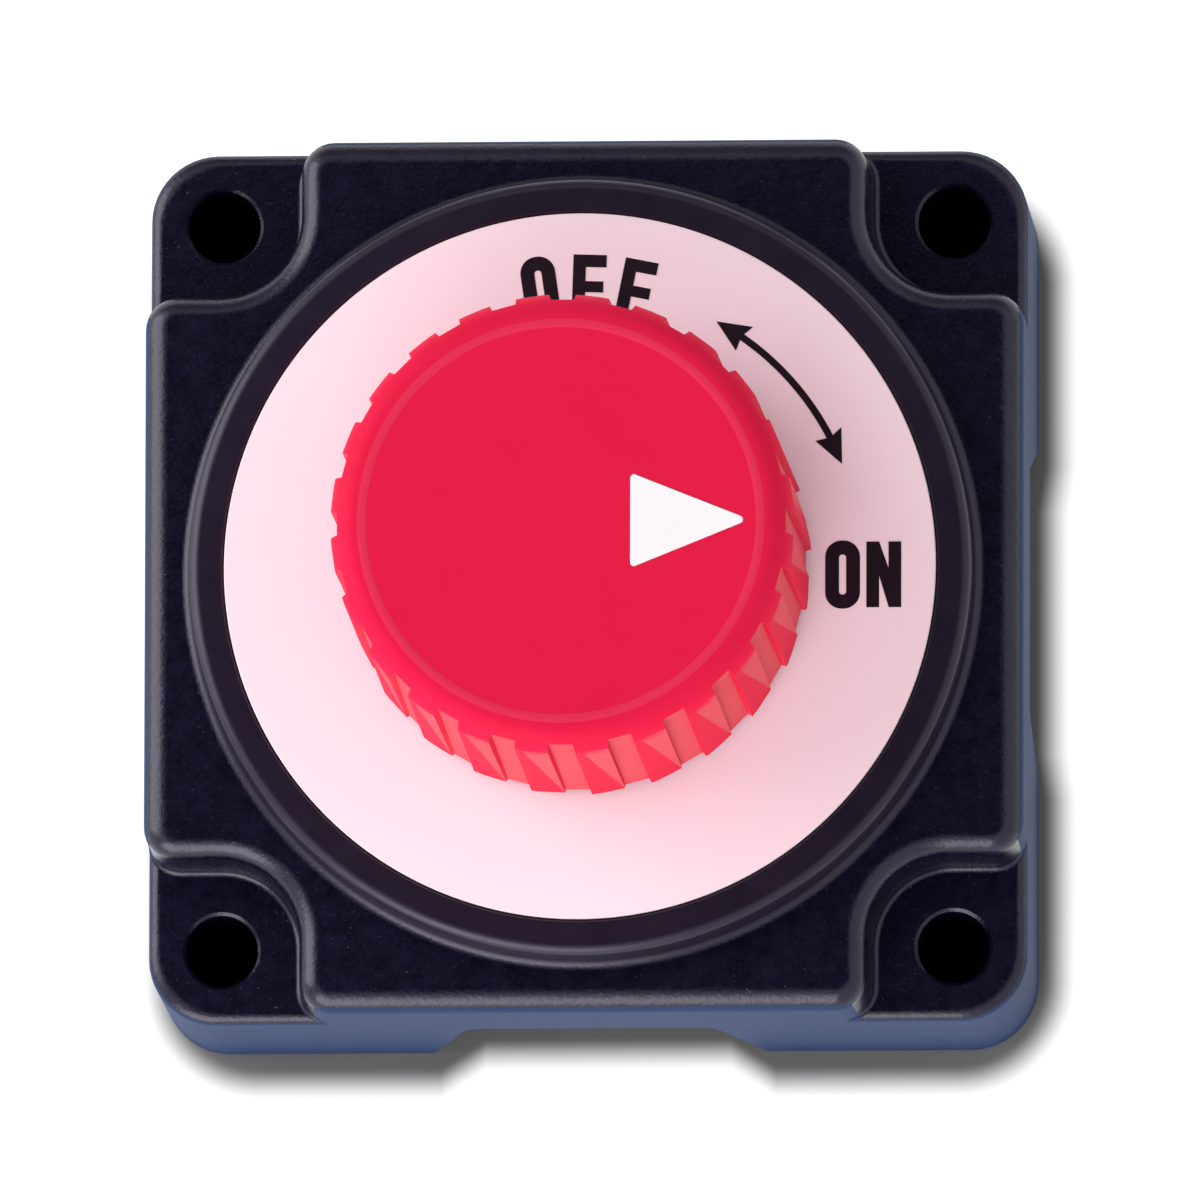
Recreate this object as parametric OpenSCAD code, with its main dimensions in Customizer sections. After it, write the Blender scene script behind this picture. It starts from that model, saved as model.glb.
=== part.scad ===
// Compact marine battery switch. A ribbed knob turns a sprung copper bridge that joins two studs.
// Units are millimetres. The origin is the centre of the mounting face, +Z runs out along the
// spindle, +X points to the ON side of the dial and +Y to the OFF side. The knob stands at ON.

/* [Housing] */
// Width and depth of the square housing
body_w = 69.3; // [68.5:0.1:72]
// Plan radius of the housing's four corners
corner_r = 5.3; // [4:0.1:5.6]
// Thickness of the outer walls round the terminal compartment
wall = 2.7; // [2.2:0.1:3]
// Height of the corner pads that the mounting screws bear on
pad_h = 18.2; // [17.6:0.1:19]
// Radius of the recess round each mounting hole
recess_r = 6.3; // [5.9:0.1:6.6]
// Height of the square plateau between the corner pads
plateau_h = 25.5; // [24.5:0.1:26]
// Radius of the plateau's upper edge
plateau_edge = 2; // [0.8:0.1:2.2]
// Outer radius of the round turret under the dial
turret_r = 30.8; // [30:0.1:31.5]
// Height of the turret's rim
turret_h = 29.5; // [29.3:0.1:30.5]

/* [Mounting] */
// Distance between mounting hole centres, both ways
hole_spacing = 57.7; // [57.4:0.1:58]
// Radius of the mounting holes
hole_r = 2.85; // [2.2:0.05:3]

/* [Cable notches] */
// Width of each cable notch where it meets the panel
notch_foot_w = 26.6; // [24:0.1:27]
// Width of each cable notch at its flat top
notch_top_w = 19.4; // [16:0.1:20]
// Height of each cable notch
notch_h = 14.5; // [12:0.1:14.5]

/* [Dial] */
// Radius of the printed dial disc
dial_r = 28; // [27:0.1:28.2]
// Thickness of the printed dial disc
dial_t = 0.4; // [0.3:0.05:0.45]

/* [Knob] */
// Radius over the ribs of the knob
rib_r = 18.3; // [17.8:0.1:19]
// Depth of the grooves between the ribs
rib_depth = 0.45; // [0.3:0.05:0.9]
// Number of ribs round the knob
rib_n = 24; // [18:1:30]
// Height of the knob from skirt to crown
knob_h = 23.7; // [23.5:0.1:26]
// Height of the rounded shoulder above the ribs
shoulder_h = 3.2; // [2:0.1:4]
// Radial width of the rounded shoulder
shoulder_w = 2.3; // [1.5:0.1:2.8]
// Distance from the knob's axis to the pointer's tip
pointer_tip = 14.8; // [12:0.1:15]
// Distance from the knob's axis to the pointer's base
pointer_base = 5.4; // [4:0.1:7]
// Half the width of the pointer's base
pointer_half_w = 3.8; // [2:0.1:4.5]

/* [Terminals] */
// Distance of each stud from the spindle's axis
stud_x = 14.5; // [14:0.1:15]
// Radius of the M8 studs
stud_r = 4; // [3.9:0.05:4]
// Width across flats of the stud nuts
nut_af = 13; // [12.5:0.1:13.5]
// Height of the stud nuts
nut_h = 6.5; // [5:0.1:6.8]

/* [Mechanism] */
// Radius of the spindle in its bearing
spindle_r = 6; // [5.8:0.05:6]
// Radial running clearance of the spindle
running_gap = 0.05; // [0.02:0.01:0.1]
// Radius of the rotor that carries the bridge
rotor_r = 20; // [19.8:0.1:20]
// Travel of the sprung bridge away from the fixed contacts
bridge_lift = 0.6; // [0.4:0.1:0.6]
// Travel of each detent plunger into its groove
detent_travel = 0.8; // [0.6:0.1:0.8]

/* [Hidden] */
$fn = 96;
eps = 0.02;
slip = 0.1;                            // assembly clearance between pieces that don't move
black = [0.10, 0.09, 0.13];
red = [0.91, 0.12, 0.24];
brass = [0.78, 0.62, 0.30];
steel = [0.74, 0.75, 0.77];

half_w = body_w / 2;
hole_xy = hole_spacing / 2;
pad_edge = hole_xy - recess_r;         // where the plateau stops and a corner pad starts
plan_round = 2.6;                      // plan radius of the plateau's eight outer corners

plate_z = 15.5;                        // ceiling of the terminal compartment
plate_t = 3;
plate_r = 29.4;
plate_top = plate_z + plate_t;
chamber_r = 24;
chamber_top = 27;
boss_r = 9;                            // spindle bearing, standing up inside the knob
boss_bottom = 26.2;
boss_top = turret_h + 4.5;
bearing_r = spindle_r + running_gap;
screw_ring = 27.3;                     // distance of the base screws from the axis
screw_r = 1.25;
pilot_r = screw_r + 0.05;

seat_z = plate_top - 0.5;              // floor of the pocket that holds a stud's head
head_top = seat_z + 2;
head_w = 14;
head_d = 12;
tip_r = 3.2;
tip_t = 0.5;
seal_t = 1;
washer_t = 1.6;
lock_t = 2;
nut_top = plate_z - washer_t - lock_t;
stud_end = 1;

contact_gap = 0.1;                     // between a bridge tip and a fixed tip
bridge_z = head_top + 2 * tip_t + contact_gap;
bridge_t = 1.8;
bridge_half = 18;
bridge_w = 9;
rotor_z = head_top + 0.9;
rotor_top = 25.6;
slot_top = bridge_z + bridge_t + bridge_lift + slip;
hex_z = 24.4;                          // underside of the spindle's hexagon
hex_af = 15;
spring_r = 2.6;
spring_top = 29.4;

plunger_z = (slot_top + rotor_top) / 2 - 1.35;
plunger_r = 1.6;
plunger_nose = rotor_r + 0.2;
plunger_len = 5.4;
plunger_back = plunger_nose - plunger_len;
pocket_back = 11;
land_r = rotor_r + 0.5;
ring_r = chamber_r - slip;
groove_r = 2.4;
groove_depth = 0.85;

knob_z = turret_h + 0.5;
knob_top = knob_z + knob_h;
crown_z = knob_top - shoulder_h;
cavity_r = 15.2;
cavity_top = knob_top - 2.7;
hub_r = 8;
hub_z = boss_top + 2.2;
drive_w = 8;
drive_top = 47;
clip_z = 40.5;
clip_t = 1;
seal_z = 31.6;
circlip_z = boss_top + 0.45;
circlip_t = 0.8;

// ---- outlines -----------------------------------------------------------------------------

// Points on an arc about c from angle a0 to a1, in n steps
function arc(c, r, a0, a1, n = 8) =
    [for (i = [0:n]) let (a = a0 + (a1 - a0) * i / n) c + r * [cos(a), sin(a)]];

// The arc that rounds the corner p between its neighbours a and b
function round_corner(a, p, b, r, n = 6) =
    let (u = (a - p) / norm(a - p), v = (b - p) / norm(b - p))
    let (half = acos(u * v) / 2, c = p + (u + v) / norm(u + v) * r / sin(half))
    let (s = p + u * r / tan(half) - c, sweep = 180 - 2 * half)
    let (turn = cross(s, p - c) > 0 ? 1 : -1)
    [for (i = [0:n]) let (w = turn * sweep * i / n)
        c + [s[0] * cos(w) - s[1] * sin(w), s[0] * sin(w) + s[1] * cos(w)]];

// A polygon with every corner rounded to radius r
function rounded(pts, r, n = 6) = let (k = len(pts))
    [for (i = [0:k - 1]) each round_corner(pts[(i + k - 1) % k], pts[i], pts[(i + 1) % k], r, n)];

function rect(w, d) = [[-w / 2, -d / 2], [w / 2, -d / 2], [w / 2, d / 2], [-w / 2, d / 2]];

function turned(p, a) = [p[0] * cos(a) - p[1] * sin(a), p[0] * sin(a) + p[1] * cos(a)];

// A square of half width h whose corners are cut back round the mounting holes to radius r
function notched_square(h, r, round_r) = let (e = hole_xy - r)
    [for (k = [0:3]) each [for (p = concat(
        round_corner([h, 0], [h, e], [hole_xy, e], round_r),
        arc([hole_xy, hole_xy], r, 270, 180, 12),
        round_corner([e, hole_xy], [e, h], [0, h], round_r))) turned(p, 90 * k)]];

// A cable notch's outline, standing on the panel line
function notch_outline() = let (f = notch_foot_w / 2, t = notch_top_w / 2)
    concat([[-f - 2, -1], [f + 2, -1]],
           round_corner([f + 2, 0], [f, 0], [t, notch_h], 1.5),
           round_corner([f, 0], [t, notch_h], [0, notch_h], 2.5),
           round_corner([0, notch_h], [-t, notch_h], [-f, 0], 2.5),
           round_corner([-t, notch_h], [-f, 0], [-f - 2, 0], 1.5));

// Outline of the knob: flat-faced ribs with flat grooves between them, a groove on +X
function rib_outline() = let (pitch = 360 / rib_n, rib = pitch * 0.275, foot = pitch * 0.295)
    [for (i = [0:rib_n - 1]) let (a = (i + 0.5) * pitch) each [
        (rib_r - rib_depth) * [cos(a - foot), sin(a - foot)],
        rib_r * [cos(a - rib), sin(a - rib)],
        rib_r * [cos(a + rib), sin(a + rib)],
        (rib_r - rib_depth) * [cos(a + foot), sin(a + foot)]]];

// ---- shared shapes ------------------------------------------------------------------------

module prism(pts, z0, z1) {
    translate([0, 0, z0]) linear_extrude(z1 - z0) polygon(pts);
}

module disc(r, z0, z1) {
    translate([0, 0, z0]) cylinder(r = r, h = z1 - z0);
}

module tube(r_in, r_out, z0, z1) {
    difference() {
        disc(r_out, z0, z1);
        disc(r_in, z0 - 1, z1 + 1);
    }
}

module at_studs() {
    for (s = [-1, 1]) translate([s * stud_x, 0, 0]) children();
}

module at_holes() {
    for (x = [-1, 1], y = [-1, 1]) translate([x * hole_xy, y * hole_xy, 0]) children();
}

module at_base_screws() {
    for (k = [0:3]) rotate(45 + 90 * k) translate([screw_ring, 0, 0]) children();
}

// An open coil of round wire standing on z = 0
module coil(r, wire, height, turns) {
    sides = 8;
    steps = turns * 14;
    rise = height - 2 * wire;
    pts = [for (i = [0:steps], j = [0:sides - 1])
        let (a = 360 * turns * i / steps, b = 360 * j / sides, q = r + wire * cos(b))
        [q * cos(a), q * sin(a), wire + rise * i / steps + wire * sin(b)]];
    walls = [for (i = [0:steps - 1], j = [0:sides - 1]) let (k = (j + 1) % sides)
        [i * sides + j, (i + 1) * sides + j, (i + 1) * sides + k, i * sides + k]];
    ends = [[for (j = [0:sides - 1]) j], [for (j = [0:sides - 1]) steps * sides + sides - 1 - j]];
    polyhedron(points = pts, faces = concat(walls, ends), convexity = 10);
}

// ---- fixed pieces -------------------------------------------------------------------------

// Rounds off the plateau's upper edge along all four sides
module plateau_edge_cut() {
    for (k = [0:3]) rotate(90 * k)
        translate([half_w - plateau_edge, half_w, plateau_h - plateau_edge]) rotate([90, 0, 0])
            linear_extrude(body_w) difference() {
                square(plateau_edge + 1);
                circle(plateau_edge);
            }
}

module turret() {
    rotate_extrude() polygon(concat(
        [[0, plateau_h - 1], [turret_r, plateau_h - 1]],
        arc([turret_r - 0.8, turret_h - 0.8], 0.8, 0, 90),
        [[dial_r + 0.15, turret_h], [dial_r + 0.15, turret_h - 0.45], [boss_r, turret_h - 0.45],
         [boss_r, boss_top], [0, boss_top]]));
}

module housing() {
    color(black) difference() {
        union() {
            prism(rounded(rect(body_w, body_w), corner_r, 10), 0, pad_h);
            difference() {
                prism(notched_square(half_w, recess_r, plan_round), pad_h - 1, plateau_h);
                plateau_edge_cut();
            }
            turret();
        }
        at_holes() disc(hole_r, -1, pad_h + 1);
        prism(notched_square(half_w - wall, recess_r, 1), -1, plate_z);
        disc(plate_r + slip, plate_z - 1, plate_top);
        tube(boss_r, chamber_r, boss_bottom, chamber_top);
        disc(chamber_r, plate_top - 1, boss_bottom);
        disc(bearing_r, boss_bottom - 1, boss_top + 1);
        at_base_screws() disc(pilot_r, plate_top - 1, plate_top + 5.5);
        for (k = [0:3]) rotate(90 * k) translate([0, half_w + 1, 0]) rotate([90, 0, 0])
            linear_extrude(wall + 2) polygon(notch_outline());
    }
}

module dial_label() {
    color([0.99, 0.87, 0.91])
        tube(boss_r + 0.15, dial_r, turret_h - 0.45, turret_h - 0.45 + dial_t);
}

// Ring with four grooves at right angles that the plungers drop into
module detent_ring() {
    color("gainsboro") difference() {
        tube(land_r, ring_r, rotor_z + 0.5, chamber_top);
        for (k = [0:3]) rotate(90 * k) translate([land_r + groove_depth - groove_r, 0, 0])
            disc(groove_r, rotor_z, chamber_top + 1);
    }
}

// Insulating floor that carries the studs, with a barrier between the two terminals
module contact_base() {
    color([0.14, 0.13, 0.16]) difference() {
        union() {
            disc(plate_r, plate_z, plate_top);
            translate([-1, -22, 5]) cube([2, 44, plate_z - 5 + 1]);
        }
        at_studs() disc(stud_r + slip, plate_z - 1, plate_top + 1);
        at_studs() disc(5.6, seat_z - seal_t, plate_top + 1);
        at_studs() prism(rect(head_w + 0.2, head_d + 0.2), seat_z, plate_top + 1);
        at_base_screws() disc(screw_r + 0.2, plate_z - 1, plate_top + 1);
        tube(chamber_r + 0.5, chamber_r + 1.6, plate_top - 1, plate_top + 1);
    }
}

module base_gasket() {
    color([0.2, 0.2, 0.22]) tube(chamber_r + 0.6, chamber_r + 1.5, plate_top - 1, plate_top);
}

// Four pan-head screws that hold the contact base up against the housing
module base_screws() {
    color(steel) at_base_screws() {
        disc(screw_r, plate_z - eps, plate_top + 5);
        difference() {
            rotate_extrude() polygon(concat([[0, plate_z], [0, plate_z - 1.7]],
                arc([1.5, plate_z - 0.8], 0.9, 270, 360, 6), [[2.4, plate_z]]));
            for (a = [0, 90]) rotate(a) translate([-1.3, -0.25, plate_z - 2.5]) cube([2.6, 0.5, 1.7]);
        }
    }
}

module stud() {
    disc(stud_r, stud_end + 0.7, seat_z + eps);
    translate([0, 0, stud_end]) cylinder(r1 = stud_r - 0.7, r2 = stud_r, h = 0.7);
    prism(rounded(rect(head_w, head_d), 1.5), seat_z, head_top);
}

module stud_supply() {
    color(brass) translate([-stud_x, 0, 0]) stud();
}

module stud_load() {
    color(brass) translate([stud_x, 0, 0]) stud();
}

module fixed_tips() {
    color("silver") at_studs() disc(tip_r, head_top, head_top + tip_t);
}

module stud_seals() {
    color([0.2, 0.2, 0.22]) at_studs() tube(stud_r + 0.15, 5.5, seat_z - seal_t, seat_z);
}

module stud_washers() {
    color(steel) at_studs() tube(stud_r + 0.2, 8, plate_z - washer_t, plate_z);
}

// Split spring washers
module stud_lock_washers() {
    color(steel) at_studs() difference() {
        tube(stud_r + 0.2, 6.4, nut_top, nut_top + lock_t);
        translate([0, 3.5, nut_top - 1]) rotate([0, 20, 0]) cube([0.7, 4, lock_t + 2]);
    }
}

module stud_nuts() {
    color(steel) at_studs() difference() {
        intersection() {
            translate([0, 0, nut_top - nut_h]) cylinder(r = nut_af / 2 / cos(30), h = nut_h, $fn = 6);
            rotate_extrude() polygon([[0, nut_top - nut_h], [nut_af / 2, nut_top - nut_h],
                [nut_af / 2 + 1.1, nut_top - nut_h + 0.6], [nut_af / 2 + 1.1, nut_top - 0.6],
                [nut_af / 2, nut_top], [0, nut_top]]);
        }
        disc(stud_r + 0.05, nut_top - nut_h - 1, nut_top + 1);
    }
}

// ---- pieces that turn with the knob -------------------------------------------------------

module knob() {
    color(red) difference() {
        union() {
            difference() {
                intersection() {
                    prism(rib_outline(), knob_z, knob_top);
                    rotate_extrude() polygon(concat(
                        [[0, knob_z - 1], [rib_r + 0.2, knob_z - 1], [rib_r + 0.2, crown_z - 1]],
                        [for (i = [0:10]) let (a = 90 * i / 10)
                            [rib_r - shoulder_w + (shoulder_w + 0.2) * cos(a),
                             crown_z - 0.3 + (shoulder_h + 0.3) * sin(a)]],
                        [[0, knob_top]]));
                }
                disc(cavity_r, knob_z - 1, cavity_top);
            }
            disc(hub_r, hub_z, cavity_top + 1);
            for (k = [0:5]) rotate(60 * k) translate([hub_r - 1, -0.8, hub_z + 8])
                cube([cavity_r - hub_r + 2, 1.6, cavity_top - hub_z - 7]);
        }
        translate([-drive_w / 2 - 0.05, -drive_w / 2 - 0.05, hub_z - 1])
            cube([drive_w + 0.1, drive_w + 0.1, drive_top - hub_z + 1.3]);
        disc(6.6, clip_z - 0.1, clip_z + clip_t + 0.1);
        prism(pointer_outline(), knob_top - 0.8, knob_top + 1);
    }
}

function pointer_outline() = rounded([[pointer_base, -pointer_half_w], [pointer_tip, 0],
                                      [pointer_base, pointer_half_w]], 0.32, 4);

module knob_pointer() {
    color([0.99, 0.96, 0.97]) prism(pointer_outline(), knob_top - 0.8, knob_top);
}

// Spring clip in the knob's hub that snaps into the spindle's groove
module knob_clip() {
    color(steel) difference() {
        tube(3.75, 6.5, clip_z, clip_z + clip_t);
        translate([0, -2.4, clip_z - 1]) cube([10, 4.8, clip_t + 2]);
    }
}

// Hexagon that drives the rotor, sealed journal, and square that drives the knob
module spindle() {
    color(brass) difference() {
        union() {
            translate([0, 0, hex_z]) cylinder(r = hex_af / 2 / cos(30), h = rotor_top - hex_z, $fn = 6);
            disc(spindle_r, rotor_top - eps, boss_top + 1.9);
            translate([-drive_w / 2, -drive_w / 2, boss_top + 1]) cube([drive_w, drive_w, drive_top - boss_top - 1]);
        }
        disc(spring_r + 1, hex_z - 1, spring_top);
        tube(spindle_r - 1.4, spindle_r + 2, seal_z - 0.9, seal_z + 0.9);
        tube(spindle_r - 1, spindle_r + 2, circlip_z - 0.05, circlip_z + circlip_t + 0.05);
        tube(3.6, 8, clip_z - 0.1, clip_z + clip_t + 0.1);
    }
}

module spindle_seal() {
    color([0.15, 0.15, 0.16]) translate([0, 0, seal_z])
        rotate_extrude() translate([spindle_r - 0.67, 0]) circle(r = 0.68, $fn = 32);
}

module bearing_washer() {
    color(steel) tube(bearing_r + 0.1, hub_r + 0.6, boss_top + 0.05, boss_top + 0.4);
}

module spindle_circlip() {
    color(steel) difference() {
        tube(spindle_r - 0.95, hub_r, circlip_z, circlip_z + circlip_t);
        translate([-2.5, 0, circlip_z - 1]) cube([5, 10, circlip_t + 2]);
    }
}

module thrust_washer() {
    color("white") tube(bearing_r + 0.1, 10, rotor_top, boss_bottom - slip);
}

// Moulded carrier with a slot for the bridge and two pockets for the detent plungers
module rotor() {
    color([0.85, 0.80, 0.68]) difference() {
        disc(rotor_r, rotor_z, rotor_top);
        translate([-bridge_half - 0.3, -bridge_w / 2 - 0.15, rotor_z - 1])
            cube([2 * bridge_half + 0.6, bridge_w + 0.3, slot_top - rotor_z + 1]);
        disc(spring_r + 1.2, rotor_z, hex_z + 1);
        translate([0, 0, hex_z]) cylinder(r = hex_af / 2 / cos(30), h = 3, $fn = 6);
        for (s = [-1, 1]) translate([0, s * pocket_back, plunger_z]) rotate([-90 * s, 0, 0])
            cylinder(r = plunger_r + 0.1, h = rotor_r);
    }
}

// Spring inside the spindle that presses the bridge on to the fixed contacts
module contact_spring() {
    color(steel) translate([0, 0, bridge_z + bridge_t]) coil(spring_r, 0.4, spring_top - bridge_z - bridge_t, 5);
}

module detent_spring(side) {
    color(steel) translate([0, side * pocket_back, plunger_z]) rotate([-90 * side, 0, 0])
        coil(1.1, 0.22, plunger_back - pocket_back, 5);
}

module detent_spring_n() {
    detent_spring(1);
}

module detent_spring_s() {
    detent_spring(-1);
}

// ---- pieces that slide in the rotor -------------------------------------------------------

module contact_bridge() {
    color([0.80, 0.44, 0.27])
        prism(rounded(rect(2 * bridge_half, bridge_w), 1.2), bridge_z, bridge_z + bridge_t);
}

module bridge_tips() {
    color("silver") at_studs() disc(tip_r, bridge_z - tip_t, bridge_z);
}

// Round-nosed pin, drawn back as it is on the land between two grooves
module detent_plunger(side) {
    color(brass) translate([0, side * plunger_back, plunger_z]) rotate([-90 * side, 0, 0])
        rotate_extrude() polygon(concat([[0, 0], [plunger_r, 0]],
            arc([0, plunger_len - plunger_r], plunger_r, 0, 90, 8)));
}

module detent_plunger_n() {
    detent_plunger(1);
}

module detent_plunger_s() {
    detent_plunger(-1);
}

housing();
dial_label();
detent_ring();
contact_base();
base_gasket();
base_screws();
stud_supply();
stud_load();
fixed_tips();
stud_seals();
stud_washers();
stud_lock_washers();
stud_nuts();
knob();
knob_pointer();
knob_clip();
spindle();
spindle_seal();
bearing_washer();
spindle_circlip();
thrust_washer();
rotor();
contact_spring();
detent_spring_n();
detent_spring_s();
contact_bridge();
bridge_tips();
detent_plunger_n();
detent_plunger_s();
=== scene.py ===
import math

import bmesh
import bpy
from mathutils import Matrix, Vector


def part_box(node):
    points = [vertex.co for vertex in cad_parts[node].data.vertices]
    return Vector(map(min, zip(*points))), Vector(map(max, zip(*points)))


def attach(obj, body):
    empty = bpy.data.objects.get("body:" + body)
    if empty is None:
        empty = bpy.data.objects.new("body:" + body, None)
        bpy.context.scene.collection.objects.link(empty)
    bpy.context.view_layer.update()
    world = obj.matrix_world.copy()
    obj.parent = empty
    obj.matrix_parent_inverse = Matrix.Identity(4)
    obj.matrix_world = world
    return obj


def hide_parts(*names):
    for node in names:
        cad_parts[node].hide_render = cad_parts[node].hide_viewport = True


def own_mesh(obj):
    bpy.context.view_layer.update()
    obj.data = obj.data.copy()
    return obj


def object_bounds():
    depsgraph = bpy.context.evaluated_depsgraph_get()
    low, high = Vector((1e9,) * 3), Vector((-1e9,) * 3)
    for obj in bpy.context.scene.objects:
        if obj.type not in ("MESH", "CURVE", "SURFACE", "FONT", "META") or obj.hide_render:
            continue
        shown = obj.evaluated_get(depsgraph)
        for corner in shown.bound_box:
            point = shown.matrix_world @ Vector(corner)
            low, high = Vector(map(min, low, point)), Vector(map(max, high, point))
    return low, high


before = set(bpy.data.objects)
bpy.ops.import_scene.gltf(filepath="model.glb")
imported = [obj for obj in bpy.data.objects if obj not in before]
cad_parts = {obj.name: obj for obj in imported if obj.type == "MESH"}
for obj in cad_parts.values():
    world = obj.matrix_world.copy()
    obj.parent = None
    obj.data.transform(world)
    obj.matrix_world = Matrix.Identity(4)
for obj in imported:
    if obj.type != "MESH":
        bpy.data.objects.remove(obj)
cad_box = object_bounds()

# Lengths below are millimetres, as in the CAD; new_object() turns them into metres.
MM = 0.001

# ---- sizes shared with the CAD model -------------------------------------------------------

HALF = cad_box[1][0] / MM            # half the width of the housing
HOLE_XY = 28.85                      # mounting holes, from the axis both ways
HOLE_R = 2.85
CORNER_R = 5.3
WALL = 2.7
PAD_Z = 18.2
RECESS_R = 6.3
PLATEAU_Z = 25.5
PLATEAU_EDGE = 2.0
PLAN_ROUND = 2.6
TURRET_R = 30.8
TURRET_Z = 29.5
DIAL_R = 28.0
LABEL_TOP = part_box("dial_label")[1][2] / MM
LABEL_T = 0.4
BOSS_R = 9.0                         # the bearing boss
BOSS_FOOT = 26.2
BOSS_TOP = 34.0
BEARING_R = 6.05
CHAMBER_R = 24.0
CHAMBER_TOP = 27.0
CEILING_Z = 15.5
SEAT_R = 29.5
SEAT_Z = 18.5
NOTCH_FOOT = 13.3
NOTCH_TOP = 9.7
NOTCH_Z = 14.5
KNOB_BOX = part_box("knob")
KNOB_Z = KNOB_BOX[0][2] / MM
KNOB_TOP = KNOB_BOX[1][2] / MM
RIB_R = 18.3
RIB_N = 24
RIB_DEPTH = 0.75                     # at the top of a groove
RIB_FOOT_DEPTH = 0.45                # at the foot of a groove
CREASE = 0.2                         # how far a rib's foot stands proud of its face
SHOULDER_W = 2.3
SHOULDER_H = 3.2
POINTER_TAIL = 5.4                   # the pointer's blunt end, from the axis
POINTER_TIP = 14.8
POINTER_HALF = 3.8                   # half its width
POINTER_DEPTH = 0.8
STUD_X = 14.5
STUD_R = 4.0
STUD_END = 1.0
HEAD_Z = 17.8                        # underside of the studs' heads
HEAD_TOP = 20.0
NUT_AF = 13.0

OVERLAP = 2.0                        # how far a block reaches into the one that it is joined to
CLEAR = 1.0                          # how far a cutter reaches past the face that it opens


# ---- mesh helpers --------------------------------------------------------------------------

def new_object(name, points, faces):
    mesh = bpy.data.meshes.new(name)
    mesh.from_pydata([(x * MM, y * MM, z * MM) for x, y, z in points], [], faces)
    mesh.validate()
    obj = bpy.data.objects.new(name, mesh)
    bpy.context.scene.collection.objects.link(obj)
    return obj


def stack(name, rings):
    """A closed solid through outlines of equal length: rings holds (outline, z) from the bottom up."""
    count = len(rings[0][0])
    points = [(x, y, z) for outline, z in rings for x, y in outline]
    faces = [[k * count + i, k * count + (i + 1) % count,
              (k + 1) * count + (i + 1) % count, (k + 1) * count + i]
             for k in range(len(rings) - 1) for i in range(count)]
    last = (len(rings) - 1) * count
    faces.append(list(range(count))[::-1])
    faces.append(list(range(last, last + count)))
    return new_object(name, points, faces)


def lathe(name, profile, steps=192, centre=(0, 0)):
    """Turns a closed profile of (r, z), listed anticlockwise, about the vertical through centre."""
    points, rows = [], []
    for r, z in profile:
        n = 1 if r < 1e-6 else steps
        rows.append((len(points), n))
        for i in range(n):
            a = 2 * math.pi * i / steps
            points.append((centre[0] + r * math.cos(a), centre[1] + r * math.sin(a), z))
    faces = []
    for k in range(len(rows)):
        (a0, an), (b0, bn) = rows[k], rows[(k + 1) % len(rows)]
        for i in range(steps):
            j = (i + 1) % steps
            ring = [a0 + i % an, a0 + j % an, b0 + j % bn, b0 + i % bn]
            face = [v for s, v in enumerate(ring) if v not in ring[:s]]
            if len(face) > 2:
                faces.append(face)
    return new_object(name, points, faces)


def arc(cx, cy, r, start, end, steps):
    """Points on an arc, angles in degrees."""
    return [(cx + r * math.cos(math.radians(start + (end - start) * i / steps)),
             cy + r * math.sin(math.radians(start + (end - start) * i / steps)))
            for i in range(steps + 1)]


def turned(points, degrees):
    c, s = math.cos(math.radians(degrees)), math.sin(math.radians(degrees))
    return [(x * c - y * s, x * s + y * c) for x, y in points]


def rounded_square(half, r, steps=12):
    corner = arc(half - r, half - r, r, 0, 90, steps)
    return [p for k in range(4) for p in turned(corner, 90 * k)]


def notched_square(half, recess, plan_round):
    """A square whose corners are cut back round the mounting holes."""
    edge = HOLE_XY - recess
    quarter = (arc(half - plan_round, edge - plan_round, plan_round, 0, 90, 8)
               + arc(HOLE_XY, HOLE_XY, recess, 270, 180, 20)
               + arc(edge - plan_round, half - plan_round, plan_round, 0, 90, 8))
    return [p for k in range(4) for p in turned(quarter, 90 * k)]


def rounded_polygon(corners, r, steps=5):
    """Rounds each corner of a convex or concave polygon to radius r."""
    result = []
    for i, corner in enumerate(corners):
        p = Vector(corner)
        u = (Vector(corners[i - 1]) - p).normalized()
        v = (Vector(corners[(i + 1) % len(corners)]) - p).normalized()
        half = u.angle(v) / 2
        centre = p + (u + v).normalized() * r / math.sin(half)
        first, last = p + u * r / math.tan(half) - centre, p + v * r / math.tan(half) - centre
        sweep = first.angle_signed(last)
        for k in range(steps + 1):
            w = -sweep * k / steps
            result.append((centre.x + first.x * math.cos(w) - first.y * math.sin(w),
                           centre.y + first.x * math.sin(w) + first.y * math.cos(w)))
    return result


def quarter_round(steps):
    """(across, up) along a quarter circle of radius 1, from its side to its top."""
    return [(1 - math.cos(math.pi / 2 * i / steps), math.sin(math.pi / 2 * i / steps))
            for i in range(steps + 1)]


def settle(obj):
    """Applies the modifiers."""
    graph = bpy.context.evaluated_depsgraph_get()
    mesh = bpy.data.meshes.new_from_object(obj.evaluated_get(graph))
    obj.modifiers.clear()
    obj.data = mesh


def combine(obj, others, operation):
    """Boolean of obj with each of the others, which are used up."""
    for other in others:
        modifier = obj.modifiers.new("combine", "BOOLEAN")
        modifier.operation = operation
        modifier.solver = "EXACT"
        modifier.object = other
        settle(obj)
        bpy.data.objects.remove(other)


def shade(obj, degrees=35):
    """Smooth shading, broken at edges sharper than the angle, with flat faces kept flat."""
    bm = bmesh.new()
    bm.from_mesh(obj.data)
    bmesh.ops.remove_doubles(bm, verts=bm.verts, dist=1e-7)
    for face in bm.faces:
        face.smooth = True
    for edge in bm.edges:
        edge.smooth = len(edge.link_faces) == 2 and edge.calc_face_angle() < math.radians(degrees)
    bm.to_mesh(obj.data)
    bm.free()
    weighted = obj.modifiers.new("flat faces", "WEIGHTED_NORMAL")
    weighted.keep_sharp = True


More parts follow.
